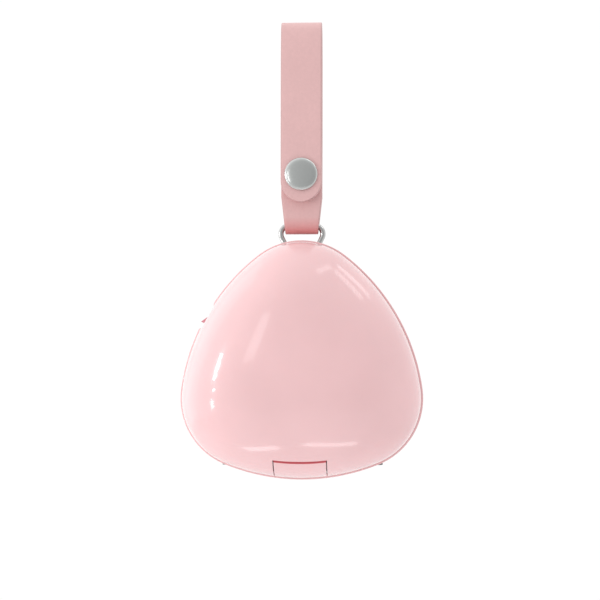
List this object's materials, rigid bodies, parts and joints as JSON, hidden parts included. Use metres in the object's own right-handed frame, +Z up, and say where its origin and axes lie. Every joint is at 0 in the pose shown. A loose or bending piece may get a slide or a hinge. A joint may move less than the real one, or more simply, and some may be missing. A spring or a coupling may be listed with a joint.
{
  "type": "portable pacifier steriliser",
  "caption": "Palm-size hinged rounded-triangle case with an ultraviolet chamber for a baby's pacifier, hung by a metal ring from a leather strap with a press stud.",
  "frame": {"origin": "underside of the strap's top fold, where the strap hangs on a wrist, hook or bar", "axes": "+X to the right seen from the lid, -Y out of the lid, +Z up along the strap"},
  "size_m": [0.088, 0.051, 0.1673],
  "materials": {
    "shell_pink": "glossy moulded plastic",
    "strap_leather": "matte fine-grain synthetic leather",
    "snap_metal": "satin nickel",
    "ring_metal": "polished",
    "pin_steel": "ground steel",
    "liner_reflector": "metallised reflector",
    "seal_silicone": "soft white silicone",
    "foot_rubber": "dark grey rubber",
    "circuit_board": "green solder mask",
    "led_body": "white ceramic body with yellow lens",
    "window_glass": "clear quartz",
    "battery_pouch": "foil pouch",
    "lead_insulation": "red insulation",
    "socket_steel": "stamped steel",
    "switch_plastic": "black",
    "magnet_nickel": "nickel plated",
    "button_rose": "satin rose",
    "cover_silicone": "matte pink silicone",
    "screw_steel": "zinc plated"
  },
  "bodies": {
    "strap": {"strap_back_run": "strap_leather", "snap_stud": "snap_metal", "snap_post": "snap_metal"},
    "strap_flap": {"strap_front_run": "strap_leather", "snap_cap": "snap_metal", "snap_socket": "snap_metal"},
    "ring": {"strap_ring": "ring_metal"},
    "case": {"rear_shell": "shell_pink", "ring_pin": "pin_steel", "hinge_block": "shell_pink", "hinge_pin": "pin_steel", "chamber_liner": "liner_reflector", "rim_seal": "seal_silicone", "foot_left": "foot_rubber", "foot_right": "foot_rubber", "led_board": "circuit_board", "uv_led_left": "led_body", "uv_led_right": "led_body", "quartz_window": "window_glass", "battery": "battery_pouch", "battery_lead": "lead_insulation", "control_board": "circuit_board", "usb_socket": "socket_steel", "tact_switch": "switch_plastic", "case_magnet_left": "magnet_nickel", "case_magnet_right": "magnet_nickel", "liner_screw_1": "screw_steel", "liner_screw_2": "screw_steel", "liner_screw_3": "screw_steel", "liner_screw_4": "screw_steel"},
    "lid": {"lid_shell": "shell_pink", "lid_liner": "liner_reflector", "lid_magnet_left": "magnet_nickel", "lid_magnet_right": "magnet_nickel"},
    "side_button": {"side_button": "button_rose"},
    "port_cover": {"port_cover": "cover_silicone"}
  },
  "joints": [
    {"name": "strap_flap_fold", "type": "hinge", "parent": "strap", "child": "strap_flap", "pos_m": [0, -0.00598, -0.0088], "axis": [-1, 0, 0], "range_deg": [0, 50]},
    {"name": "ring_swing", "type": "hinge", "parent": "strap", "child": "ring", "pos_m": [0, 0, -0.0734], "axis": [1, 0, 0], "range_deg": [-60, 60]},
    {"name": "case_swing", "type": "hinge", "parent": "ring", "child": "case", "pos_m": [0, 0, -0.08765], "axis": [0, 1, 0], "range_deg": [-14, 14]},
    {"name": "lid_hinge", "type": "hinge", "parent": "case", "child": "lid", "pos_m": [0, -0.0074, -0.1624], "axis": [1, 0, 0], "range_deg": [0, 105]},
    {"name": "side_button_press", "type": "slide", "parent": "case", "child": "side_button", "axis": [0.866, 0, -0.5], "range_m": [0, 0.001], "stiffness_N_per_m": 400, "springref_m": -0.0008},
    {"name": "port_cover_hinge", "type": "hinge", "parent": "case", "child": "port_cover", "pos_m": [0, 0.0039, -0.1651], "axis": [-1, 0, 0], "range_deg": [0, 90]}
  ]
}
